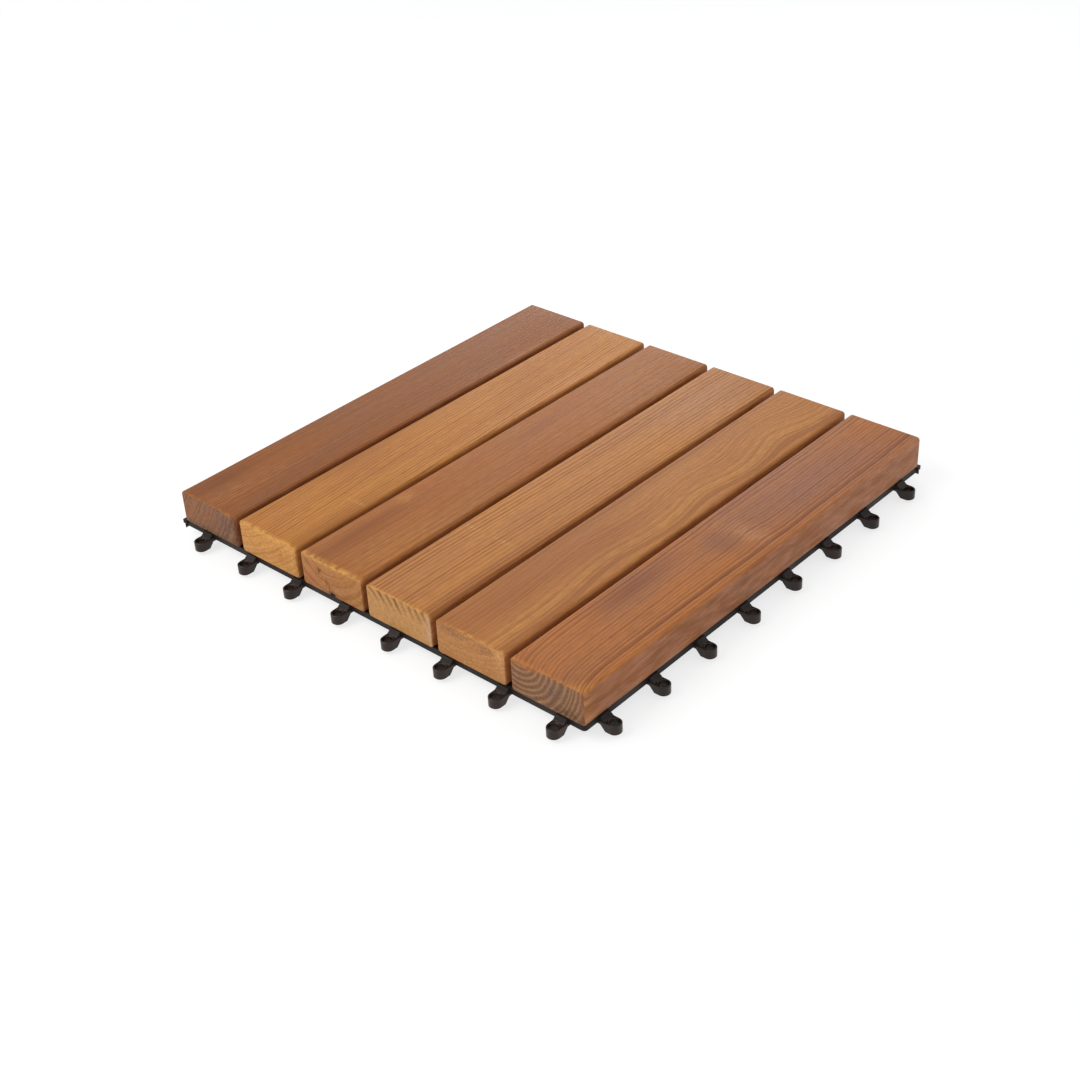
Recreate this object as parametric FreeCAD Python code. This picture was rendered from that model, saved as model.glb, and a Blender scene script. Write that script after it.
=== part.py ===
import FreeCAD, Part
import os

from FreeCAD import Vector

# Interlocking deck tile: six hardwood slats screwed from below to one moulded plastic base.
# The origin is the centre of the slat field at ground level. +Z is up, and the slats run along Y.
# Loops stand out of the base on the -Y and +X sides. The matching pins hang under its edge on
# the +Y and -X sides, one tile module away, so every tile fits the next on all four sides.
# All lengths are in millimetres.

# Slats
slat_count = 6
slat_pitch = 50.0
slat_gap = 3.5
slat_thickness = 20.0
slat_top_radius = 2.0
slat_bottom_radius = 2.0
slat_end_ease = 1.0

# Base, measured from the ground to the underside of the slats
base_depth = 10.0
flange_thickness = 2.4
rim_depth = 3.8
rim_width = 2.0
rim_inset = 1.0
flange_reach = 3.0
flange_corner_radius = 2.0
lip_thickness = 1.2
lip_depth = 5.5
rib_thickness = 2.0
ribs_per_slat = 2
skirt_thickness = 2.5
foot_size = 9.0
foot_height = 3.0

# Loops and pins
loops_per_side = 8
loop_shift = 2.3
loop_reach = 5.8
loop_root = 1.2
loop_ramp_reach = 2.6
loop_ramp_clearance = 0.5
loop_bevel_rise = 3.6
loop_bevel_reach = 3.3
loop_hole_radius = 2.5
loop_wall = 1.3
loop_height = 5.8
loop_edge_chamfer = 0.4
loop_lid_clearance = 0.2
neighbour_clearance = 0.6
skirt_clearance = 2.6
pin_clearance = 0.3
pin_tip_chamfer = 0.6

# Screws and their seats
screw_head_radius = 3.5
screw_head_height = 2.2
screw_head_edge = 0.5
screw_core_radius = 1.5
screw_length = 16.0
screw_tip_length = 3.0
recess_span = 3.6
recess_width = 0.9
recess_depth = 1.2
screw_seat_thickness = 3.0
screw_hole_clearance = 0.2
screw_head_clearance = 0.6
pilot_clearance = 0.05
pilot_spare_depth = 0.5
boss_wall = 1.9

# What follows from the sizes above
slat_width = slat_pitch - slat_gap
tile_module = slat_count * slat_pitch
slat_length = tile_module - slat_gap
half_field = (tile_module - slat_gap) / 2
rim_edge = half_field - rim_inset
rib_pitch = slat_pitch / ribs_per_slat
loop_pitch = tile_module / loops_per_side
loop_radius = loop_hole_radius + loop_wall
loop_top = base_depth - flange_thickness - loop_lid_clearance
loop_bottom = loop_top - loop_height
loop_root_bottom = loop_bottom + loop_bevel_rise
loop_root_top = base_depth - loop_ramp_clearance
pin_radius = loop_hole_radius - pin_clearance
pin_inset = loop_reach - slat_gap
skirt_outer = half_field - pin_inset - loop_radius - skirt_clearance
skirt_inner = skirt_outer - skirt_thickness
outer_rib = int((skirt_inner - rib_thickness) / rib_pitch)
inner_row = round(0.4 * outer_rib)
boss_size = 2 * (screw_head_radius + screw_head_clearance + boss_wall)
screw_seat = base_depth - screw_seat_thickness
boss_bottom = screw_seat - screw_head_height - screw_head_edge
pilot_depth = screw_length - screw_seat_thickness + pilot_spare_depth


def block(x0, x1, y0, y1, z0, z1):
    return Part.makeBox(x1 - x0, y1 - y0, z1 - z0, Vector(x0, y0, z0))


def rounded_outline(x0, x1, y0, y1, z, radius):
    """Closed wire of a rectangle with round corners, in a level plane."""
    corners = [(x1, y0), (x1, y1), (x0, y1), (x0, y0)]
    inward = [(-1, 1), (-1, -1), (1, -1), (1, 1)]
    middle = radius * (1 - 0.5 ** 0.5)
    edges = []
    starts = []
    ends = []
    arcs = []
    for number, (corner, sign) in enumerate(zip(corners, inward)):
        along_x = Vector(corner[0] + sign[0] * radius, corner[1], z)
        along_y = Vector(corner[0], corner[1] + sign[1] * radius, z)
        turn = Vector(corner[0] + sign[0] * middle, corner[1] + sign[1] * middle, z)
        first, last = (along_x, along_y) if number % 2 == 0 else (along_y, along_x)
        starts.append(first)
        ends.append(last)
        arcs.append(Part.Arc(first, turn, last).toShape())
    for number in range(4):
        edges.append(arcs[number])
        edges.append(Part.makeLine(ends[number], starts[(number + 1) % 4]))
    return Part.Wire(edges)


def slat_centres():
    middle = (slat_count - 1) / 2
    return [(number - middle) * slat_pitch for number in range(slat_count)]


def screw_rows():
    return [rib * rib_pitch for rib in (-outer_rib, -inner_row, inner_row, outer_rib)]


def screw_places():
    return [(x, y) for x in slat_centres() for y in screw_rows()]


def loop_offsets():
    """Places of the loops along a side, counted from the middle of the side."""
    middle = (loops_per_side - 1) / 2
    return [(number - middle) * loop_pitch for number in range(loops_per_side)]


def loop_places():
    """Centre of each loop's hole, and the direction in which the loop stands out."""
    centre = half_field + loop_reach
    front = [(offset + loop_shift, -centre, (0, -1)) for offset in loop_offsets()]
    right = [(centre, offset - loop_shift, (1, 0)) for offset in loop_offsets()]
    return front + right


def pin_places():
    """A pin stands one tile module behind each loop, where the next tile's loop comes."""
    return [(x - tile_module * out[0], y - tile_module * out[1]) for x, y, out in loop_places()]


def slat_section(centre):
    """Closed profile of a slat across its grain, with all four long edges rounded."""
    left = centre - slat_width / 2
    right = centre + slat_width / 2
    low = base_depth
    high = base_depth + slat_thickness
    top = slat_top_radius
    bottom = slat_bottom_radius
    top_middle = top * (1 - 0.5 ** 0.5)
    bottom_middle = bottom * (1 - 0.5 ** 0.5)
    y = -slat_length / 2

    def point(x, z):
        return Vector(x, y, z)

    edges = [
        Part.makeLine(point(left + bottom, low), point(right - bottom, low)),
        Part.Arc(point(right - bottom, low), point(right - bottom_middle, low + bottom_middle),
                 point(right, low + bottom)).toShape(),
        Part.makeLine(point(right, low + bottom), point(right, high - top)),
        Part.Arc(point(right, high - top), point(right - top_middle, high - top_middle),
                 point(right - top, high)).toShape(),
        Part.makeLine(point(right - top, high), point(left + top, high)),
        Part.Arc(point(left + top, high), point(left + top_middle, high - top_middle),
                 point(left, high - top)).toShape(),
        Part.makeLine(point(left, high - top), point(left, low + bottom)),
        Part.Arc(point(left, low + bottom), point(left + bottom_middle, low + bottom_middle),
                 point(left + bottom, low)).toShape(),
    ]
    return Part.Wire(edges)


def make_slat(centre):
    """One slat with eased ends and a blind pilot hole for each of its screws."""
    slat = Part.Face(slat_section(centre)).extrude(Vector(0, slat_length, 0))
    half_length = slat_length / 2
    end_edges = [edge for edge in slat.Edges
                 if abs(abs(edge.CenterOfMass.y) - half_length) < 0.01]
    slat = slat.makeChamfer(slat_end_ease, end_edges)
    pilot_radius = screw_core_radius + pilot_clearance
    pilots = [Part.makeCylinder(pilot_radius, pilot_depth, Vector(centre, y, base_depth))
              for y in screw_rows()]
    return slat.cut(pilots)


def make_lattice():
    """Crossed ribs inside a square skirt, open through every cell."""
    lines = [rib * rib_pitch for rib in range(-outer_rib, outer_rib + 1)]
    starts = [-skirt_inner] + [line + rib_thickness / 2 for line in lines]
    ends = [line - rib_thickness / 2 for line in lines] + [skirt_inner]
    low = foot_height
    cells = []
    for x0, x1 in zip(starts, ends):
        for y0, y1 in zip(starts, ends):
            corners = [(x0, y0), (x0, y1), (x1, y1), (x1, y0), (x0, y0)]
            cells.append(Part.makePolygon([Vector(x, y, low) for x, y in corners]))
    edge = skirt_outer
    corners = [(-edge, -edge), (edge, -edge), (edge, edge), (-edge, edge), (-edge, -edge)]
    outline = Part.makePolygon([Vector(x, y, low) for x, y in corners])
    return Part.Face([outline] + cells).extrude(Vector(0, 0, base_depth - low))


def make_flange():
    """Flat top edge: inside the slats' ends on the loop sides, past the slats on the pin sides."""
    reach = half_field + flange_reach
    low = base_depth - flange_thickness
    outer = rounded_outline(-reach, rim_edge, -rim_edge, reach, low, flange_corner_radius)
    edge = skirt_inner
    corners = [(-edge, -edge), (-edge, edge), (edge, edge), (edge, -edge), (-edge, -edge)]
    inner = Part.makePolygon([Vector(x, y, low) for x, y in corners])
    return Part.Face([outer, inner]).extrude(Vector(0, 0, flange_thickness))


def make_strip_ends():
    """The pin sides' strips run on past the rims, to the line of the slats."""
    reach = half_field + flange_reach
    start = rim_edge - 2 * flange_corner_radius
    low = base_depth - flange_thickness
    back = block(start, half_field, half_field, reach, low, base_depth)
    left = block(-reach, -half_field, -half_field, -start, low, base_depth)
    return [back, left]


def make_rims():
    """Deeper edge of the flange along the two loop sides."""
    reach = half_field + flange_reach
    low = base_depth - rim_depth
    outer = rounded_outline(-reach, rim_edge, -rim_edge, reach, low, flange_corner_radius)
    whole = Part.Face(outer).extrude(Vector(0, 0, rim_depth))
    front = block(-reach, rim_edge, -rim_edge, -rim_edge + rim_width, low, base_depth)
    right = block(rim_edge - rim_width, rim_edge, -rim_edge, reach, low, base_depth)
    return [whole.common(front), whole.common(right)]


def make_lips():
    """Edge turned down along the two pin sides."""
    reach = half_field + flange_reach
    low = base_depth - lip_depth
    outer = rounded_outline(-reach, half_field, -half_field, reach, low, flange_corner_radius)
    whole = Part.Face(outer).extrude(Vector(0, 0, lip_depth))
    back = block(-reach, half_field, reach - lip_thickness, reach, low, base_depth)
    left = block(-reach, -reach + lip_thickness, -half_field, reach, low, base_depth)
    return [whole.common(back), whole.common(left)]


def make_loop_ways():
    """Open ways through the pin sides' edge, one for each of the next tile's loops."""
    reach = half_field + flange_reach
    half_way = loop_radius + neighbour_clearance
    ways = []
    for offset in loop_offsets():
        across = offset + loop_shift
        ways.append(block(across - half_way, across + half_way, half_field, reach, 0, base_depth))
        down = offset - loop_shift
        ways.append(block(-reach, -half_field, down - half_way, down + half_way, 0, base_depth))
    return ways


def make_tongue(x, y, out):
    """Arm with a round end that carries a loop's hole, ramped down from its root under the rim."""
    ahead = Vector(out[0], out[1], 0)
    side = Vector(-out[1], out[0], 0) * loop_radius
    up = Vector(0, 0, 1)
    centre = Vector(x, y, loop_bottom)
    edge = centre - ahead * loop_reach
    root = edge - ahead * (rim_inset + loop_root)
    tip = centre + ahead * loop_radius
    edges = [
        Part.makeLine(root - side, centre - side),
        Part.Arc(centre - side, tip, centre + side).toShape(),
        Part.makeLine(centre + side, root + side),
        Part.makeLine(root + side, root - side),
    ]
    tongue = Part.Face(Part.Wire(edges)).extrude(up * loop_height)
    rims = [rim for rim in tongue.Edges
            if abs(rim.CenterOfMass.z - loop_bottom - loop_height / 2) > 0.4 * loop_height
            and (rim.CenterOfMass - root).dot(ahead) > 0.1]
    tongue = tongue.makeChamfer(loop_edge_chamfer, rims)
    low = [root, edge + ahead * loop_bevel_reach, edge + up * loop_bevel_rise,
           root + up * loop_bevel_rise]
    bevel = Part.makePolygon([point - side * 2 for point in low + low[:1]])
    tongue = tongue.cut(Part.Face(bevel).extrude(side * 4))
    narrow = side * (1 - loop_edge_chamfer / loop_radius)
    top = up * (loop_root_top - loop_bottom)
    high = [root + up * loop_bevel_rise, edge + up * loop_bevel_rise,
            edge + ahead * loop_ramp_reach + up * (loop_height - loop_edge_chamfer),
            edge + ahead * loop_ramp_reach + up * loop_height, edge + top, root + top]
    ramp = Part.makePolygon([point - narrow for point in high + high[:1]])
    return tongue.fuse(Part.Face(ramp).extrude(narrow * 2))


def across_edge(along, half_width, near, far, low, out):
    """Block across a loop side, between two distances from the middle of the tile."""
    if out[0]:
        return block(near, far, along - half_width, along + half_width, low, base_depth)
    return block(along - half_width, along + half_width, -far, -near, low, base_depth)


def make_loop_seat(x, y, out):
    """Root plate that hangs a loop from the rim, and the stay that ties it to the skirt."""
    along = y if out[0] else x
    half_width = loop_radius - loop_edge_chamfer
    low = loop_root_bottom
    plate = across_edge(along, half_width, rim_edge - loop_root, rim_edge, low, out)
    stay = across_edge(along, rib_thickness / 2, skirt_inner, rim_edge, low, out)
    return [plate, stay]


def make_loop_hole(x, y):
    """Hole through a loop, with its two mouths eased."""
    ease = loop_edge_chamfer
    hole = Part.makeCylinder(loop_hole_radius, base_depth, Vector(x, y, 0))
    mouth_radius = loop_hole_radius + ease
    top = Part.makeCone(loop_hole_radius, mouth_radius, ease, Vector(x, y, loop_top - ease))
    bottom = Part.makeCone(mouth_radius, loop_hole_radius, ease, Vector(x, y, loop_bottom))
    return hole.fuse([top, bottom])


def make_pin(x, y):
    """Pin under the flange, with a chamfered lead-in tip."""
    straight = base_depth - loop_bottom - pin_tip_chamfer
    pin = Part.makeCylinder(pin_radius, straight, Vector(x, y, loop_bottom + pin_tip_chamfer))
    tip = Part.makeCone(pin_radius - pin_tip_chamfer, pin_radius, pin_tip_chamfer,
                        Vector(x, y, loop_bottom))
    return pin.fuse(tip)


def make_feet():
    """Square pads under the ribs below the slat gaps, and under the skirt."""
    outside = skirt_outer - foot_size / 2
    gap_lines = [line + slat_pitch / 2 for line in slat_centres()[:-1]]
    lines = [-outside] + gap_lines + [outside]
    half = foot_size / 2
    top = foot_height + (base_depth - foot_height) / 2
    return [block(x - half, x + half, y - half, y + half, 0, top) for x in lines for y in lines]


def make_boss(x, y):
    half = boss_size / 2
    return block(x - half, x + half, y - half, y + half, boss_bottom, base_depth)


def make_boss_hole(x, y):
    """Counterbore for the screw head from below, and the hole for its core above."""
    head = Part.makeCylinder(screw_head_radius + screw_head_clearance, screw_seat, Vector(x, y, 0))
    core = Part.makeCylinder(screw_core_radius + screw_hole_clearance, base_depth, Vector(x, y, 0))
    return head.fuse(core)


def make_base():
    """The whole base, moulded in one piece."""
    loops = loop_places()
    bodies = [make_flange()] + make_strip_ends() + make_rims() + make_lips() + make_feet()
    bodies += [make_tongue(x, y, out) for x, y, out in loops]
    for x, y, out in loops:
        bodies += make_loop_seat(x, y, out)
    bodies += [make_pin(x, y) for x, y in pin_places()]
    bodies += [make_boss(x, y) for x, y in screw_places()]
    solid = make_lattice().multiFuse(bodies)
    holes = make_loop_ways() + [make_loop_hole(x, y) for x, y, out in loops]
    holes += [make_boss_hole(x, y) for x, y in screw_places()]
    return solid.cut(holes).removeSplitter()


def make_screw(x, y):
    """Pan-head screw with a cross recess, head down, its core pointing up into the slat."""
    head_low = screw_seat - screw_head_height
    rim = Part.makeCone(screw_head_radius - screw_head_edge, screw_head_radius, screw_head_edge,
                        Vector(x, y, head_low))
    head = Part.makeCylinder(screw_head_radius, screw_head_height - screw_head_edge,
                             Vector(x, y, head_low + screw_head_edge))
    core = Part.makeCylinder(screw_core_radius, screw_length - screw_tip_length,
                             Vector(x, y, screw_seat))
    tip = Part.makeCone(screw_core_radius, 0, screw_tip_length,
                        Vector(x, y, screw_seat + screw_length - screw_tip_length))
    arm = recess_span / 2
    half = recess_width / 2
    recess_top = head_low + recess_depth
    across = block(x - arm, x + arm, y - half, y + half, head_low, recess_top)
    along = block(x - half, x + half, y - arm, y + arm, head_low, recess_top)
    return head.fuse([rim, core, tip]).cut([across, along]).removeSplitter()


def make_screws():
    return Part.makeCompound([make_screw(x, y) for x, y in screw_places()])


def save(shape, name):
    shape.exportStep(os.path.join("parts", name + ".step"))


def main():
    os.makedirs("parts", exist_ok=True)
    save(make_base(), "base_grid")
    for number, centre in enumerate(slat_centres(), start=1):
        save(make_slat(centre), "slat_%d" % number)
    save(make_screws(), "fixing_screws")


main()
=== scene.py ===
import math

import bmesh
import bpy
from mathutils import Matrix, Vector, noise


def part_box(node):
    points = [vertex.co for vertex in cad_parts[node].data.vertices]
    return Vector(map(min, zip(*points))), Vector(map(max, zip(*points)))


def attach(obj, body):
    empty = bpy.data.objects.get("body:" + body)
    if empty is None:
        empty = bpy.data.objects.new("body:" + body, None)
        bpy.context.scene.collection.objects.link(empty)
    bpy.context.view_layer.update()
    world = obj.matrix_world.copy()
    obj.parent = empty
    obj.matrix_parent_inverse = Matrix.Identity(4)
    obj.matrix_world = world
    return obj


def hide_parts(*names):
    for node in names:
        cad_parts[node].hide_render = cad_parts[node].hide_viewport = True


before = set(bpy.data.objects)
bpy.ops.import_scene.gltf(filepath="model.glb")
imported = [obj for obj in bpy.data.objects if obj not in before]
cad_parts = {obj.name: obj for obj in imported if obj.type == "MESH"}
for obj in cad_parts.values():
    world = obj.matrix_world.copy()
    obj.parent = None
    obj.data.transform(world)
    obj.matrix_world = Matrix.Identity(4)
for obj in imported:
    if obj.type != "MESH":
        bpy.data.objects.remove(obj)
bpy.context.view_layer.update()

# Shape of the boards, in metres. Screws and pilot holes stand in rows along Y.
top_radius = 0.0020
bottom_radius = 0.0020
end_radius = 0.0010
corner_steps = 7
end_steps = 5
length_steps = 28
worn_depth = 0.00012
pilot_radius = 0.00155
pilot_depth = 0.0135
pilot_overshoot = 0.001
pilot_sides = 20
screw_rows = (-0.125, -0.05, 0.05, 0.125)
sharp_degrees = 40

# Places in the wood, in mm. Each board takes its noise a step further on than the last one.
mm_per_metre = 1000.0
boards_top = 30.0
boards_front = -148.25
boards_length = 296.5
noise_step = 71.0

# How often each noise in the wood repeats per mm, across and along the grain
wander_rate = (1 / 45, 1 / 150)
ripple_rate = (1 / 3, 1 / 22)
fibre_rate = (1.1, 0.014)
fleck_rate = (0.9, 0.13)
pore_rate = (3.4, 0.16)
shade_rate = (1 / 24, 1 / 90)
blotch_rate = (0.28, 0.07)

# The same for the noises that aren't drawn out, on the sawn ends
end_wander_rate = 0.12
cloud_rate = 0.33
speck_rate = 0.8

# How far the rings are pushed about, in mm: by the ripple, and by the wander on the ends. The
# turn behind the front end is made over the bend's reach.
ripple_push = 1.1
end_wander = 2.4
bend_reach = 9.0

# Sanded strip, in mm: how far it comes down the front end, and how ragged its back edge is
strip_height = 3.5
strip_ragged = 6.0

# How strongly each noise shows, as a share of a full tint or of the brightness
fibre_share = 0.4
pore_share = 0.45
fleck_share = 0.16
blotch_share = 0.15
speck_share = 0.32

# On the long side faces: the share of the ring lines that is left, and of the tints that is lost
side_line_share = 0.45
side_tint_loss = 0.65


def colour(red, green, blue):
    """Linear colour from 0 to 255 display values."""
    def linear(value):
        value = value / 255
        return value / 12.92 if value <= 0.04045 else ((value + 0.055) / 1.055) ** 2.4
    return (linear(red), linear(green), linear(blue), 1.0)


class Nodes:
    """Short calls for building the node tree of a material or a world."""

    def __init__(self, owner):
        owner.use_nodes = True
        self.owner = owner
        self.tree = owner.node_tree
        self.tree.nodes.clear()

    def make(self, kind, inputs=None, **settings):
        node = self.tree.nodes.new(kind)
        for key, value in settings.items():
            setattr(node, key, value)
        for key, value in (inputs or {}).items():
            self.put(node.inputs[key], value)
        return node

    def put(self, socket, value):
        if isinstance(value, bpy.types.NodeSocket):
            self.tree.links.new(value, socket)
        else:
            socket.default_value = value

    def math(self, operation, first, second=0.0, third=0.0, clamp=False):
        node = self.make("ShaderNodeMath", operation=operation, use_clamp=clamp)
        for socket, value in zip(node.inputs, (first, second, third)):
            self.put(socket, value)
        return node.outputs[0]

    def vector(self, operation, first, second=(0.0, 0.0, 0.0)):
        node = self.make("ShaderNodeVectorMath", operation=operation)
        self.put(node.inputs[0], first)
        if operation == "SCALE":
            self.put(node.inputs["Scale"], second)
        else:
            self.put(node.inputs[1], second)
        return node.outputs["Value" if operation == "LENGTH" else "Vector"]

    def split(self, vector):
        node = self.make("ShaderNodeSeparateXYZ", {0: vector})
        return node.outputs[0], node.outputs[1], node.outputs[2]

    def join(self, x, y, z):
        return self.make("ShaderNodeCombineXYZ", {0: x, 1: y, 2: z}).outputs[0]

    def noise(self, vector, scale=1.0, detail=2.0, roughness=0.5):
        node = self.make("ShaderNodeTexNoise", {"Vector": vector, "Scale": scale,
                                                "Detail": detail, "Roughness": roughness})
        return node.outputs["Fac"]

    def drawn_noise(self, place, rate, detail=3.0, roughness=0.5):
        """Noise drawn out along Y, from how often it repeats across and along."""
        across, along = rate
        drawn = self.vector("MULTIPLY", place, (across, along, across))
        return self.noise(drawn, detail=detail, roughness=roughness)

    def line_noise(self, value, scale, detail):
        node = self.make("ShaderNodeTexNoise", noise_dimensions="1D")
        self.put(node.inputs["W"], value)
        self.put(node.inputs["Scale"], scale)
        self.put(node.inputs["Detail"], detail)
        return node.outputs["Fac"]

    def map(self, value, low, high, to_low=0.0, to_high=1.0, smooth=True):
        node = self.make("ShaderNodeMapRange", {"Value": value, "From Min": low, "From Max": high,
                                                "To Min": to_low, "To Max": to_high})
        node.interpolation_type = "SMOOTHSTEP" if smooth else "LINEAR"
        return node.outputs[0]

    def curve(self, value, stops):
        """Grey value read from a ramp of (place, brightness) stops."""
        node = self.make("ShaderNodeValToRGB", {"Fac": value})
        ramp = node.color_ramp
        while len(ramp.elements) < len(stops):
            ramp.elements.new(0.5)
        for element, (place, level) in zip(ramp.elements, stops):
            element.position = place
            element.color = (level, level, level, 1.0)
        return node.outputs["Color"]

    def mix(self, factor, first, second):
        node = self.make("ShaderNodeMix", data_type="RGBA")
        self.put(node.inputs["Factor"], factor)
        self.put(node.inputs["A"], first)
        self.put(node.inputs["B"], second)
        return node.outputs["Result"]

    def lay(self, base, mask, strength, tint):
        """A tint laid over a colour, by a mask times a strength."""
        return self.mix(self.math("MULTIPLY", mask, strength, clamp=True), base, tint)

    def hill(self, first, second, place):
        """Smooth hill of height 1, from two coordinates, a place and two half widths."""
        a, b, wide, long = place
        across = self.math("DIVIDE", self.math("SUBTRACT", first, a), wide)
        along = self.math("DIVIDE", self.math("SUBTRACT", second, b), long)
        spread = self.math("MULTIPLY_ADD", along, along, self.math("MULTIPLY", across, across))
        return self.math("EXPONENT", self.math("MULTIPLY", spread, -1.0))

    def bump(self, height, strength, distance, normal=None):
        node = self.make("ShaderNodeBump", {"Height": height, "Strength": strength,
                                            "Distance": distance})
        if normal is not None:
            self.put(node.inputs["Normal"], normal)
        return node.outputs["Normal"]

    def seen(self):
        """1 on rays from the camera, a mirror or glass, and 0 on rays that gather light."""
        path = self.make("ShaderNodeLightPath").outputs
        mirrored = self.math("MAXIMUM", path["Is Glossy Ray"], path["Is Transmission Ray"])
        return self.math("MAXIMUM", path["Is Camera Ray"], mirrored)

    def finish(self, shader, kind="ShaderNodeOutputMaterial"):
        self.make(kind, {"Surface": shader})
        return self.owner


def material_nodes(name):
    return Nodes(bpy.data.materials.new(name))


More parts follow.
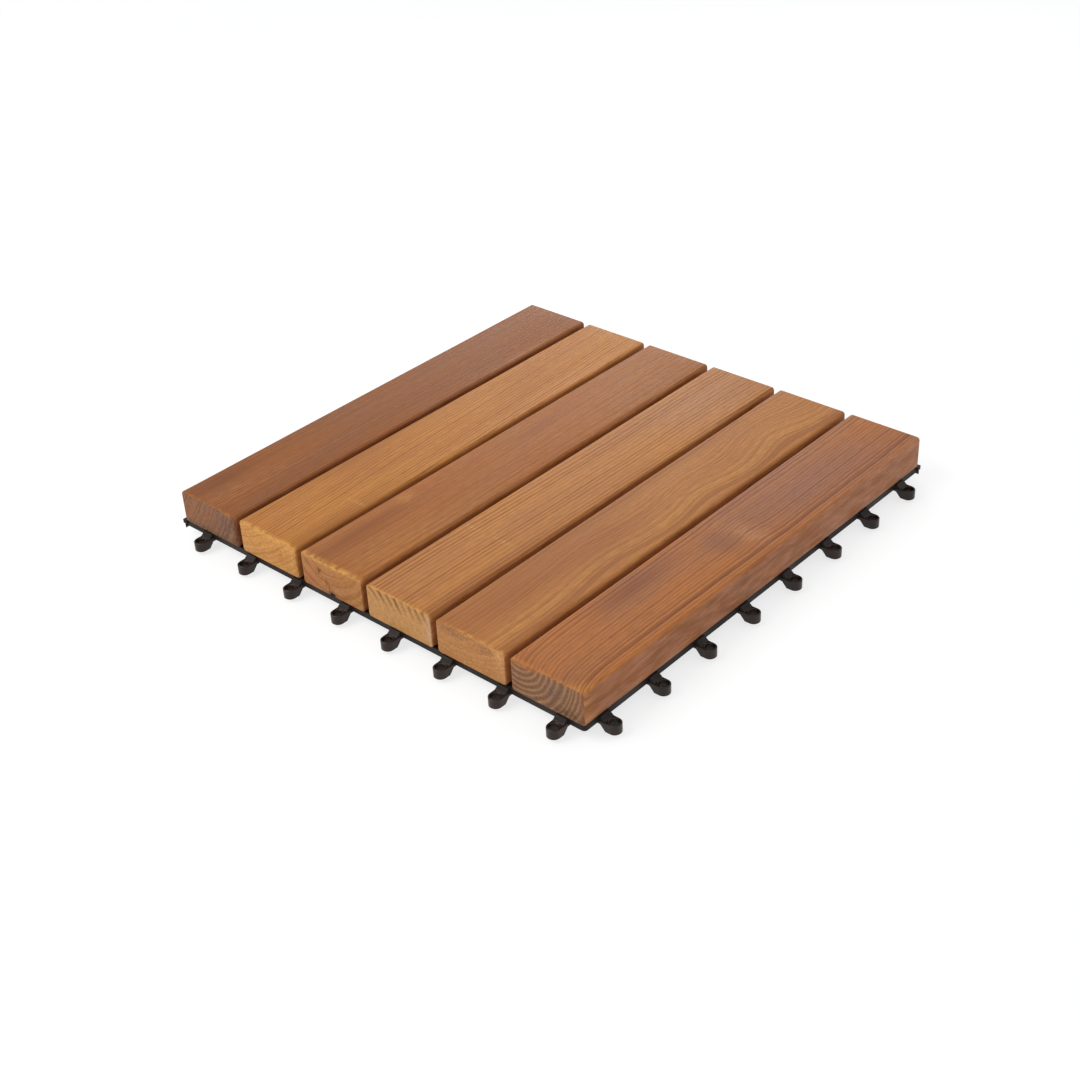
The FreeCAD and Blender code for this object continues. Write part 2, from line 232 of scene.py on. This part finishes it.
# Each board is a solid pattern of growth rings about a pith line along Y. Colours are 0 to 255
# display values, and places are in mm: u from the board's left edge, v up from its top face, and
# y along it.
# Colours: the planed faces run from "light" to "shade", with rings and pores of "dark" and pale
# fibres of "gold", and "side" lies over the long side faces. "gold" is also the sanded strip,
# "gold_depth" deep, along the front end's top edge. The ends are "end_light" and "end_dark".
# Rings: "top" shapes them on the planed faces and "end" on the ends. "ring" is their width,
# "uneven" how much it varies, "line" their strength, "drift" how far they wander, "tilt" how far
# they shift along the board, "bend" how far they turn aside behind the front end, and "fade" the
# depth by which they are almost gone on the ends. "arcs" lists the radii of the pale rings.
# A hill (u, y, two half widths, push) shifts the rings round a place. A band (u, half width,
# colour, strength) tints along the rings. A patch (u, y, two half widths, colour, strength) tints
# round a place, and so does an end patch, with v for y.
boards = [
    dict(light=(154, 93, 47), dark=(111, 61, 33), shade=(148, 95, 59), side=(150, 98, 66),
         gold=(176, 114, 60), gold_depth=1.2, end_light=(148, 106, 79), end_dark=(70, 48, 39),
         top=dict(pith=(150.0, -16.0), ring=1.9, uneven=0.5, line=0.64, drift=2.0, tilt=0.0),
         end=dict(pith=(-60.0, 40.0), ring=3.4, uneven=1.1, line=0.78),
         patches=[(26, -122, 9, 40, (176, 112, 58), 0.45), (9, -126, 7, 26, (104, 60, 38), 0.5),
                  # The patch at u 44, y 95 is a painted highlight along the right long edge, on the
                  # back half.
                  (40, -100, 8, 60, (128, 75, 48), 0.3), (44, 95, 2.5, 34, (192, 138, 100), 0.35)],
         end_patches=[(9, -10, 9, 10, (160, 104, 68), 0.5), (24, -9, 5, 9, (160, 104, 76), 0.5),
                      (36, -8, 6, 8, (118, 92, 88), 0.45), (46, -10, 2.4, 16, (66, 42, 32), 0.7),
                      (41, -1, 5, 1.6, (176, 112, 58), 0.5), (22, -20, 30, 3, (90, 68, 50), 0.5)]),
    dict(light=(198, 133, 65), dark=(158, 98, 44), shade=(184, 119, 62), side=(184, 122, 74),
         gold=(214, 156, 82), gold_depth=3.0, end_light=(216, 155, 90), end_dark=(148, 92, 48),
         top=dict(pith=(-70.0, -50.0), ring=2.0, uneven=0.25, line=0.95, drift=3.0, tilt=14.0),
         end=dict(pith=(-17.0, 59.0), ring=3.1, uneven=0.9, line=0.6),
         patches=[(45, -118, 8, 52, (146, 84, 36), 0.6), (42, 78, 7, 80, (208, 146, 104), 0.45),
                  (4, -60, 5, 90, (144, 88, 46), 0.4), (38, -96, 9, 1.5, (228, 172, 104), 0.28)],
         end_patches=[(28, -1, 18, 2, (224, 174, 92), 0.5), (34, -11, 6, 5, (182, 116, 64), 0.45),
                      (5, -17, 6, 4, (214, 160, 110), 0.4),
                      (46.5, -10, 1.6, 14, (120, 74, 40), 0.6),
                      (20, -14, 7, 3, (196, 132, 86), 0.35)]),
    dict(light=(168, 102, 50), dark=(127, 68, 33), shade=(166, 106, 58), side=(165, 110, 70),
         gold=(212, 156, 84), gold_depth=4.0, end_light=(188, 130, 82), end_dark=(142, 88, 54),
         top=dict(pith=(-60.0, -30.0), ring=2.9, uneven=0.7, line=0.42, drift=5.0, tilt=3.0),
         end=dict(pith=(22.0, 12.0), ring=4.4, uneven=1.3, line=0.6),
         patches=[(13, -116, 6, 44, (116, 64, 38), 0.5), (7, -76, 5, 6, (200, 138, 74), 0.45),
                  (38, -112, 10, 42, (182, 120, 58), 0.5), (14, 30, 3, 24, (126, 73, 44), 0.4),
                  (30, 90, 20, 60, (180, 126, 88), 0.3)],
         end_patches=[(23, 0, 30, 1.7, (218, 160, 84), 0.8),
                      (13.6, -6.5, 1.7, 1.5, (92, 52, 28), 0.9),
                      # The next three end patches are painted shade for the crack and the nick low
                      # on this end, which the board's shape doesn't have.
                      (18.7, -13, 0.8, 2.8, (104, 60, 36), 0.6),
                      (20.6, -16, 0.8, 2.2, (92, 52, 32), 0.8),
                      (22.6, -19.2, 1.9, 2.4, (8, 6, 5), 1.6),
                      (40, -15, 5, 5, (164, 122, 56), 0.45), (33, -6, 6, 4, (182, 122, 56), 0.4),
                      (8, -14, 6, 5, (178, 110, 80), 0.4)]),
    dict(light=(197, 132, 69), dark=(134, 76, 36), shade=(184, 123, 72), side=(184, 124, 80),
         gold=(214, 158, 88), gold_depth=2.0, end_light=(202, 150, 96), end_dark=(112, 74, 40),
         top=dict(pith=(-80.0, -40.0), ring=2.5, uneven=0.2, line=0.75, drift=2.5, tilt=-3.0),
         end=dict(pith=(-39.0, -43.0), ring=4.4, uneven=0.06, line=1.0, fade=10.0),
         patches=[(7, -76, 6, 1.3, (226, 170, 108), 0.3), (30, -76, 6, 1.3, (226, 170, 108), 0.28),
                  (44, -120, 5, 60, (142, 82, 38), 0.45), (23, 110, 22, 40, (190, 144, 114), 0.4)],
         end_patches=[(45.5, -9, 2.6, 13, (208, 172, 142), 0.55),
                      (8, -18, 9, 4, (206, 150, 96), 0.4), (24, -19, 10, 3, (184, 138, 62), 0.35)]),
    dict(light=(186, 124, 68), dark=(138, 82, 42), shade=(178, 116, 66), side=(178, 118, 74),
         gold=(212, 152, 80), gold_depth=2.5, end_light=(198, 140, 88), end_dark=(134, 84, 50),
         top=dict(pith=(-60.0, -50.0), ring=2.5, uneven=0.5, line=0.5, drift=3.0, tilt=0.0),
         end=dict(pith=(10.0, 62.0), ring=2.8, uneven=1.2, line=0.58),
         hills=[(32, -58, 30, 34, 5.0), (32, 26, 24, 24, 4.5), (24, 100, 20, 26, 8.0)],
         bands=[(38.0, 2.2, (216, 158, 86), 0.25), (33.0, 1.0, (208, 150, 82), 0.25),
                (43.5, 1.3, (132, 78, 40), 0.4)],
         patches=[(14, -110, 14, 60, (152, 88, 50), 0.55), (20, -48, 12, 30, (154, 92, 52), 0.4),
                  (3, 0, 4, 140, (140, 86, 46), 0.45)],
         end_patches=[(12, -3, 12, 3, (136, 94, 68), 0.55), (34, -3.4, 6, 2.4, (130, 90, 66), 0.5),
                      (42.5, -2.5, 4, 4, (220, 166, 106), 0.7),
                      (44, -12, 3, 8, (212, 156, 104), 0.5),
                      (28, -17, 14, 4, (196, 134, 74), 0.35)]),
    dict(light=(185, 115, 58), dark=(112, 57, 34), shade=(164, 107, 69), side=(184, 127, 96),
         gold=(192, 126, 68), gold_depth=2.6, end_light=(190, 146, 106), end_dark=(110, 73, 56),
         top=dict(pith=(-30.0, -25.0), ring=2.05, uneven=0.3, line=0.62, drift=2.5, tilt=0.0,
                  bend=5.0),
         end=dict(pith=(6.0, 3.0), line=0.84,
                  arcs=[5.5, 8.6, 12.0, 15.0, 18.0, 21.0, 25.0, 29.5, 32.4, 34.3, 36.5, 39.0,
                        41.5]),
         hills=[(24, 10, 14, 12, 2.0)],
         bands=[(9.0, 0.7, (96, 50, 32), 0.5), (45.4, 0.8, (100, 54, 34), 0.7)],
         patches=[(10, -70, 5, 32, (116, 56, 32), 0.5), (28, 9, 11, 6.5, (210, 150, 100), 0.5),
                  (22, -8, 16, 8, (126, 84, 66), 0.4), (44, -146, 7, 6, (214, 146, 72), 0.7),
                  (22, 74, 24, 56, (150, 110, 98), 0.5), (6, 110, 6, 40, (178, 124, 84), 0.4),
                  (28, -118, 24, 24, (190, 118, 58), 0.4), (46, -60, 3, 90, (186, 118, 66), 0.35),
                  (47, 120, 2.5, 70, (214, 152, 116), 0.6), (35, 108, 13, 46, (164, 114, 90), 0.5)],
         end_patches=[(8, -1, 10, 2.2, (184, 112, 58), 0.6), (28, -8, 6, 5, (104, 88, 88), 0.35),
                      (45.5, -10, 2.2, 9, (150, 96, 74), 0.45),
                      (36, -17, 10, 3, (78, 56, 46), 0.4)]),
]


def rings(nodes, u, v, shift, spec):
    """Late wood of the growth rings, from 0 to 1, about a pith."""
    radius = nodes.vector("LENGTH", nodes.join(nodes.math("SUBTRACT", u, spec["pith"][0]), 0.0,
                                               nodes.math("SUBTRACT", v, spec["pith"][1])))
    radius = nodes.math("ADD", radius, shift)
    if "arcs" in spec:
        # Stated rings: a power under 1 makes the dark ones broad and the pale ones thin
        arcs, outermost, broadness = spec["arcs"], 4.0, 0.36
        reach = arcs[-1] + outermost
        stops = [(0.0, 1.0)]
        for arc, following in zip(arcs, arcs[1:] + [reach]):
            stops += [(arc / reach, 0.0), ((arc + following) / 2 / reach, 1.0)]
        dark = nodes.curve(nodes.math("DIVIDE", radius, reach), stops)
        return nodes.math("POWER", dark, broadness)

    # Rings of uneven width, each with a strength of its own
    turns = nodes.math("DIVIDE", radius, spec["ring"])
    uneven = nodes.line_noise(turns, scale=0.33, detail=2.0)
    turns = nodes.math("MULTIPLY_ADD", uneven, 3 * spec["uneven"], turns)
    strength = nodes.line_noise(nodes.math("FLOOR", turns), scale=5.3, detail=0.0)
    strength = nodes.map(strength, 0.3, 0.7, 0.4, 1.0)
    late = nodes.curve(nodes.math("FRACT", turns),
                       [(0.0, 0.0), (0.25, 0.05), (0.62, 0.8), (0.78, 1.0), (1.0, 0.0)])
    return nodes.math("MULTIPLY", late, strength)


def grain(nodes, board, left, seed):
    """Growth rings, fibres and face masks of one board, as sockets."""
    texture = nodes.make("ShaderNodeTexCoord")
    place_mm = nodes.vector("SCALE", texture.outputs["Object"], mm_per_metre)
    across, along, up = nodes.split(place_mm)
    u = nodes.math("SUBTRACT", across, left * mm_per_metre)
    v = nodes.math("SUBTRACT", up, boards_top)
    from_front = nodes.math("SUBTRACT", along, boards_front)
    place = nodes.join(nodes.math("ADD", u, seed * noise_step), along, v)
    top, end = board["top"], board["end"]

    # Slow wander of the rings, the tilt, the hills, and the turn behind the front end
    wander = nodes.math("SUBTRACT", nodes.drawn_noise(place, wander_rate, detail=2.0), 0.5)
    shift = nodes.math("MULTIPLY", wander, 2 * top["drift"])
    shift = nodes.math("MULTIPLY_ADD", from_front, top["tilt"] / boards_length, shift)
    for u_hill, y_hill, wide, long, push in board.get("hills", []):
        raised = nodes.hill(u, along, (u_hill, y_hill, wide, long))
        shift = nodes.math("MULTIPLY_ADD", raised, push, shift)
    if "bend" in top:
        straight = nodes.math("SUBTRACT", 1.0, nodes.math(
            "EXPONENT", nodes.math("DIVIDE", from_front, -bend_reach)))
        straight = nodes.math("MULTIPLY", straight, nodes.map(v, -6.0, -0.5))
        shift = nodes.math("MULTIPLY_ADD", straight, top["bend"], shift)

    # Rings on the planed faces with a fine ripple, and rings on the ends
    ripple = nodes.math("SUBTRACT", nodes.drawn_noise(place, ripple_rate), 0.5)
    late = rings(nodes, u, v, nodes.math("MULTIPLY_ADD", ripple, ripple_push, shift), top)
    end_shift = nodes.noise(place, scale=end_wander_rate, detail=3.0)
    end_shift = nodes.math("MULTIPLY", end_shift, end_wander)
    end_shift = nodes.math("SUBTRACT", end_shift, end_wander / 2)
    end_late = rings(nodes, u, v, end_shift, end)
    if "fade" in end:
        end_late = nodes.math("MULTIPLY", end_late,
                              nodes.map(v, -end["fade"], -1.0, 0.12, 1.0))

    facing = nodes.split(texture.outputs["Normal"])
    return dict(
        place=place, u=u, v=v, along=along, from_front=from_front,
        on_ring=nodes.math("ADD", u, shift), late=late, end_late=end_late,
        fibre=nodes.drawn_noise(place, fibre_rate, detail=5.0, roughness=0.62),
        flecks=nodes.drawn_noise(place, fleck_rate, roughness=0.6),
        pores=nodes.drawn_noise(place, pore_rate, roughness=0.6),
        shade=nodes.drawn_noise(place, shade_rate),
        blotch=nodes.drawn_noise(place, blotch_rate),
        sawn=nodes.map(nodes.math("ABSOLUTE", facing[1]), 0.55, 0.9),
        side=nodes.map(nodes.math("ABSOLUTE", facing[0]), 0.5, 0.95))


def planed_faces(nodes, board, g):
    """Colour of the planed faces."""
    dark, gold = colour(*board["dark"]), colour(*board["gold"])
    planed = nodes.mix(nodes.map(g["shade"], 0.35, 0.68), colour(*board["light"]),
                       colour(*board["shade"]))
    sided = nodes.math("MULTIPLY", g["side"], nodes.map(g["blotch"], 0.35, 0.65, 0.3, 1.0))
    planed = nodes.mix(sided, planed, colour(*board["side"]))

    # Tints with edges torn by the flecks, weaker on the side faces
    torn = nodes.map(g["flecks"], 0.3, 0.7, 0.55, 1.45, smooth=False)
    torn = nodes.math("MULTIPLY", torn,
                      nodes.math("MULTIPLY_ADD", g["side"], -side_tint_loss, 1.0))
    for u_band, half, tint, strength in board.get("bands", []):
        band = nodes.math("MULTIPLY", nodes.hill(g["on_ring"], 0.0, (u_band, 0.0, half, 1.0)), torn)
        planed = nodes.lay(planed, band, strength, colour(*tint))
    for u_patch, y_patch, wide, long, tint, strength in board["patches"]:
        spot = nodes.hill(g["u"], g["along"], (u_patch, y_patch, wide, long))
        planed = nodes.lay(planed, nodes.math("MULTIPLY", spot, torn), strength, colour(*tint))

    # Ring lines, fibres, flecks, blotches of the side faces, and pores
    line = board["top"]["line"]
    line = nodes.map(g["side"], 0.0, 1.0, line, line * side_line_share)
    planed = nodes.mix(nodes.math("MULTIPLY", g["late"], line), planed, dark)
    streak = nodes.map(g["fibre"], 0.3, 0.7, -0.5, 0.5, smooth=False)
    planed = nodes.lay(planed, streak, fibre_share, gold)
    planed = nodes.lay(planed, streak, -fibre_share, dark)
    planed = nodes.vector("SCALE", planed, nodes.map(
        g["flecks"], 0.25, 0.75, 1 - fleck_share, 1 + fleck_share, smooth=False))
    mottled = nodes.map(g["blotch"], 0.3, 0.7, -blotch_share, blotch_share, smooth=False)
    planed = nodes.vector("SCALE", planed, nodes.math("MULTIPLY_ADD", mottled, g["side"], 1.0))
    planed = nodes.lay(planed, nodes.map(g["pores"], 0.62, 0.76), pore_share, dark)

    # Paler strip along the top edge of the front end, where the sawn edge was eased by sanding
    ragged = nodes.math("SUBTRACT", g["from_front"], strip_ragged / 2)
    ragged = nodes.math("MULTIPLY_ADD", g["fibre"], strip_ragged, ragged)
    strip = nodes.map(ragged, board["gold_depth"], 0.3)
    strip = nodes.math("MULTIPLY", strip, nodes.map(g["v"], -strip_height, -0.5))
    strip = nodes.math("MULTIPLY", strip, nodes.map(g["blotch"], 0.36, 0.6, 0.1, 0.9))
    return nodes.mix(strip, planed, gold)


def sawn_ends(nodes, board, g, speck):
    """Colour of the sawn ends."""
    cut = nodes.mix(nodes.math("MULTIPLY", g["end_late"], board["end"]["line"]),
                    colour(*board["end_light"]), colour(*board["end_dark"]))
    clouded = nodes.map(nodes.noise(g["place"], scale=cloud_rate), 0.3, 0.7, 0.4, 1.5)
    for u_patch, v_patch, wide, high, tint, strength in board["end_patches"]:
        spot = nodes.hill(g["u"], g["v"], (u_patch, v_patch, wide, high))
        cut = nodes.lay(cut, nodes.math("MULTIPLY", spot, clouded), strength, colour(*tint))
    return nodes.vector("SCALE", cut, nodes.map(
        speck, 0.25, 0.75, 1 + speck_share, 1 - speck_share, smooth=False))


def wood(number, board, left):
    """Oiled hardwood of one board."""
    nodes = material_nodes("wood_%d_oiled" % number)
    g = grain(nodes, board, left, number)
    speck = nodes.noise(g["place"], scale=speck_rate, detail=5.0, roughness=0.75)
    both = nodes.mix(g["sawn"], planed_faces(nodes, board, g), sawn_ends(nodes, board, g, speck))

    # Relief from the rings, fibres, flecks and pores, and from the saw on the ends
    height = g["fibre"]
    for relief, share in ((g["late"], -0.5), (g["flecks"], 0.5), (g["pores"], 0.35),
                          (nodes.math("MULTIPLY", speck, g["sawn"]), 1.2)):
        height = nodes.math("MULTIPLY_ADD", relief, share, height)
    rough = nodes.math("ADD", nodes.map(g["fibre"], 0.3, 0.7, 0.44, 0.56),
                       nodes.math("MULTIPLY", g["sawn"], 0.2))
    shader = nodes.make("ShaderNodeBsdfPrincipled", {
        "Base Color": both, "Roughness": rough, "Specular IOR Level": 0.12,
        "Normal": nodes.bump(height, strength=0.45, distance=0.0003)})
    return nodes.finish(shader.outputs[0])


def moulded_plastic():
    """Near-black brown plastic with a fine spark-eroded surface."""
    nodes = material_nodes("base_plastic_moulded")
    place = nodes.make("ShaderNodeTexCoord").outputs["Object"]
    fine = nodes.noise(place, scale=2600.0, detail=3.0, roughness=0.6)
    cloudy = nodes.noise(place, scale=55.0, detail=3.0)
    tone = nodes.mix(nodes.map(cloudy, 0.35, 0.7), colour(38, 24, 17), colour(52, 35, 26))
    tone = nodes.mix(nodes.map(fine, 0.3, 0.8, 0.0, 0.5), tone, colour(18, 11, 8))

    # Painted shade, darker and duller, where the base lies under and beside the boards: above 6 mm
    # inside the boards' outline, and above 7.5 mm outside it
    x, y, z = nodes.split(place)
    outline, outline_blur = 0.1484, 0.0004
    shade_heights_inside, shade_heights_outside = (0.0056, 0.0062), (0.0071, 0.0080)
    inside = nodes.math("MULTIPLY", nodes.map(x, outline, outline - outline_blur),
                        nodes.map(y, -outline, outline_blur - outline))
    under = nodes.math("MULTIPLY", nodes.map(z, *shade_heights_inside), inside)
    painted_shade = nodes.math("MAXIMUM", under, nodes.map(z, *shade_heights_outside))
    painted_shade = nodes.math("MULTIPLY", painted_shade, nodes.map(cloudy, 0.25, 0.6, 0.8, 1.0))
    tone = nodes.mix(painted_shade, tone, colour(22, 12, 7))
    rough = nodes.math("MULTIPLY_ADD", painted_shade, 0.3, nodes.map(cloudy, 0.3, 0.7, 0.3, 0.42))
    rounded = nodes.make("ShaderNodeBevel", {"Radius": 0.00035}, samples=4)
    shader = nodes.make("ShaderNodeBsdfPrincipled", {
        "Base Color": tone, "Roughness": rough, "Specular IOR Level": 0.32,
        "Normal": nodes.bump(fine, strength=0.25, distance=0.00012, normal=rounded.outputs[0])})
    return nodes.finish(shader.outputs[0])


def plated_steel():
    """Zinc-plated screws with faint turning marks."""
    nodes = material_nodes("screw_steel_plated")
    place = nodes.make("ShaderNodeTexCoord").outputs["Object"]
    turned = nodes.noise(nodes.vector("MULTIPLY", place, (900.0, 900.0, 9000.0)), detail=3.0)
    cloudy = nodes.noise(place, scale=400.0)
    tone = nodes.mix(cloudy, colour(196, 196, 190), colour(168, 170, 168))
    shader = nodes.make("ShaderNodeBsdfPrincipled", {
        "Base Color": tone, "Metallic": 1.0, "Roughness": nodes.map(turned, 0.3, 0.7, 0.26, 0.42),
        "Normal": nodes.bump(turned, strength=0.2, distance=0.00005)})
    return nodes.finish(shader.outputs[0])


def board_profile(x0, x1, z0, z1, inset):
    """Points round a board's section, drawn in by an inset at its rounded ends."""
    corners = [(x1, z0, -1, 1, bottom_radius, -90), (x1, z1, -1, -1, top_radius, 0),
               (x0, z1, 1, -1, top_radius, 90), (x0, z0, 1, 1, bottom_radius, 180)]
    points = []
    for x, z, in_x, in_z, radius, start in corners:
        small = radius - inset
        for step in range(corner_steps + 1):
            angle = math.radians(start + 90 * step / corner_steps)
            points.append((x + in_x * radius + small * math.cos(angle),
                           z + in_z * radius + small * math.sin(angle)))
    return points


def board_stations(y0, y1):
    """Places along a board with the inset of the section there."""
    turn = [math.radians(90 * step / end_steps) for step in range(end_steps + 1)]
    front = [(y0 + end_radius * (1 - math.sin(a)), end_radius * (1 - math.cos(a)))
             for a in reversed(turn)]
    back = [(y0 + y1 - y, inset) for y, inset in reversed(front)]
    first, last = front[-1][0], back[0][0]
    middle = [(first + (last - first) * step / length_steps, 0.0)
              for step in range(1, length_steps)]
    return front + middle + back


def board_mesh(name, low, high, seed):
    """Planed board with rounded edges and ends, and very slight hollows along its edges."""
    hollow_rate, hollow_step = Vector((60, 22, 60)), 9.1
    half_width, half_height = 0.023, 0.010
    mesh = bmesh.new()
    sections = []
    centre = Vector(((low.x + high.x) / 2, 0, (low.z + high.z) / 2))
    for y, inset in board_stations(low.y, high.y):
        section = []
        for x, z in board_profile(low.x, high.x, low.z, high.z, inset):
            wear = noise.noise(Vector((x * hollow_rate.x + seed * hollow_step,
                                       y * hollow_rate.y, z * hollow_rate.z)))
            pull = worn_depth * max(0.0, wear)
            section.append(mesh.verts.new((x + (centre.x - x) * pull / half_width, y,
                                           z + (centre.z - z) * pull / half_height)))
        sections.append(section)
    size = len(sections[0])
    for near, far in zip(sections, sections[1:]):
        for i in range(size):
            mesh.faces.new((near[i], near[(i + 1) % size], far[(i + 1) % size], far[i]))
    mesh.faces.new(list(reversed(sections[0])))
    mesh.faces.new(sections[-1])
    bmesh.ops.recalc_face_normals(mesh, faces=mesh.faces)
    data = bpy.data.meshes.new(name)
    mesh.to_mesh(data)
    mesh.free()
    return data


def pilot_cutter(x, z):
    """Four blind pilot holes as one mesh, for one board."""
    mesh = bmesh.new()
    for y in screw_rows:
        place = Matrix.Translation((x, y, z + (pilot_depth - pilot_overshoot) / 2))
        bmesh.ops.create_cone(mesh, cap_ends=True, segments=pilot_sides, radius1=pilot_radius,
                              radius2=pilot_radius, depth=pilot_depth + pilot_overshoot,
                              matrix=place)
    data = bpy.data.meshes.new("pilots")
    mesh.to_mesh(data)
    mesh.free()
    return bpy.data.objects.new("pilots", data)


def make_board(number, board):
    """One slat's board, drilled for its screws, in place of the plain solid."""
    node = "slat_%d" % number
    low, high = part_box(node)
    name = "board_%d" % number
    piece = bpy.data.objects.new(name, board_mesh(name, low, high, number))
    cutter = pilot_cutter((low.x + high.x) / 2, low.z)
    for item in (piece, cutter):
        bpy.context.scene.collection.objects.link(item)
    cut = piece.modifiers.new("pilots", "BOOLEAN")
    cut.object = cutter
    cut.operation = "DIFFERENCE"
    cut.solver = "EXACT"
    bpy.context.view_layer.update()
    drilled = bpy.data.meshes.new_from_object(
        piece.evaluated_get(bpy.context.evaluated_depsgraph_get()))
    piece.modifiers.clear()
    piece.data = drilled
    drilled.name = name
    bpy.data.objects.remove(cutter)
    for face in drilled.polygons:
        face.use_smooth = True
    drilled.set_sharp_from_angle(angle=math.radians(sharp_degrees))
    drilled.materials.clear()
    drilled.materials.append(wood(number, board, low.x))
    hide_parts(node)
    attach(piece, "root")


def dress(node, material):
    """A material for a solid that stays as it is."""
    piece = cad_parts[node]
    piece.data.materials.clear()
    piece.data.materials.append(material)


def make_floor():
    """Wide white floor that takes a soft shadow and isn't seen from below."""
    floor_size, floor_drop = 12, 0.0004
    bpy.ops.mesh.primitive_grid_add(x_subdivisions=2, y_subdivisions=2, size=floor_size,
                                    location=(0, 0, -floor_drop))
    floor = bpy.context.object
    floor.name = "floor"
    nodes = material_nodes("floor_white")
    seen = nodes.seen()

    # What the camera sees: a dim grey that takes the shadow, lifted to white by a glow
    grey = nodes.make("ShaderNodeBsdfDiffuse", {"Color": (0.35, 0.35, 0.35, 1.0)})
    glow = nodes.make("ShaderNodeEmission", {"Color": (1, 1, 1, 1), "Strength": 0.735})
    shown = nodes.make("ShaderNodeAddShader", {0: grey.outputs[0], 1: glow.outputs[0]})
    plain = nodes.make("ShaderNodeBsdfDiffuse", {"Color": (0.8, 0.8, 0.8, 1.0)})
    top = nodes.make("ShaderNodeMixShader", {0: seen, 1: plain.outputs[0], 2: shown.outputs[0]})
    clear = nodes.make("ShaderNodeBsdfTransparent")
    behind = nodes.make("ShaderNodeNewGeometry").outputs["Backfacing"]
    both = nodes.make("ShaderNodeMixShader", {0: behind, 1: top.outputs[0], 2: clear.outputs[0]})
    floor.data.materials.append(nodes.finish(both.outputs[0]))


def make_lamp(name, place, size, energy, tint=(1.0, 1.0, 1.0)):
    """Round soft lamp turned to the middle of the tile."""
    lamp = bpy.data.lights.new(name, "AREA")
    lamp.shape = "DISK"
    lamp.size = size
    lamp.energy = energy
    lamp.color = tint
    item = bpy.data.objects.new(name, lamp)
    item.location = place
    item.rotation_euler = (-item.location).to_track_quat("-Z", "Y").to_euler()
    bpy.context.scene.collection.objects.link(item)


def make_light():
    """Even light from a pale room, seen as white, with two lamps."""
    bpy.context.scene.world = bpy.data.worlds.new("studio")
    nodes = Nodes(bpy.context.scene.world)
    room = nodes.make("ShaderNodeBackground", {"Color": (0.97, 0.985, 1.0, 1.0),
                                               "Strength": 0.62})
    white = nodes.make("ShaderNodeBackground", {"Color": (1.0, 1.0, 1.0, 1.0)})
    both = nodes.make("ShaderNodeMixShader", {0: nodes.seen(), 1: room.outputs[0],
                                              2: white.outputs[0]})
    nodes.finish(both.outputs[0], "ShaderNodeOutputWorld")

    make_lamp("key", (-0.55, -1.15, 1.35), size=1.1, energy=13.0, tint=(1.0, 0.985, 0.96))
    # Low and from behind, for a faint sheen on the far half of the boards
    make_lamp("sheen", (-0.55, 0.66, 0.30), size=0.5, energy=1.6)


def make_camera():
    """Camera at the photograph's place: angles in degrees, distance from a point on the boards."""
    azimuth, elevation, roll = math.radians(43.20), math.radians(33.32), math.radians(-3.21)
    distance, focal_pixels, picture_pixels = 0.90438, 1715.5, 1080
    target = Vector((0.04603, -0.06300, 0.030))
    back = Vector((math.sin(azimuth) * math.cos(elevation),
                   -math.cos(azimuth) * math.cos(elevation), math.sin(elevation)))
    level = Vector((math.cos(azimuth), math.sin(azimuth), 0.0))
    upright = back.cross(level)
    right = level * math.cos(roll) + upright * math.sin(roll)
    up = upright * math.cos(roll) - level * math.sin(roll)
    data = bpy.data.cameras.new("camera")
    data.sensor_width = 36.0
    data.lens = focal_pixels / picture_pixels * data.sensor_width
    data.clip_start = 0.01
    data.clip_end = 50.0
    camera = bpy.data.objects.new("camera", data)
    turn = Matrix((right, up, back)).transposed().to_4x4()
    camera.matrix_world = Matrix.Translation(target + back * distance) @ turn
    bpy.context.scene.collection.objects.link(camera)
    bpy.context.scene.camera = camera


make_camera()
make_light()
make_floor()
for number, board in enumerate(boards, start=1):
    make_board(number, board)
dress("base_grid", moulded_plastic())
dress("fixing_screws", plated_steel())
bpy.context.scene.view_settings.view_transform = "Standard"
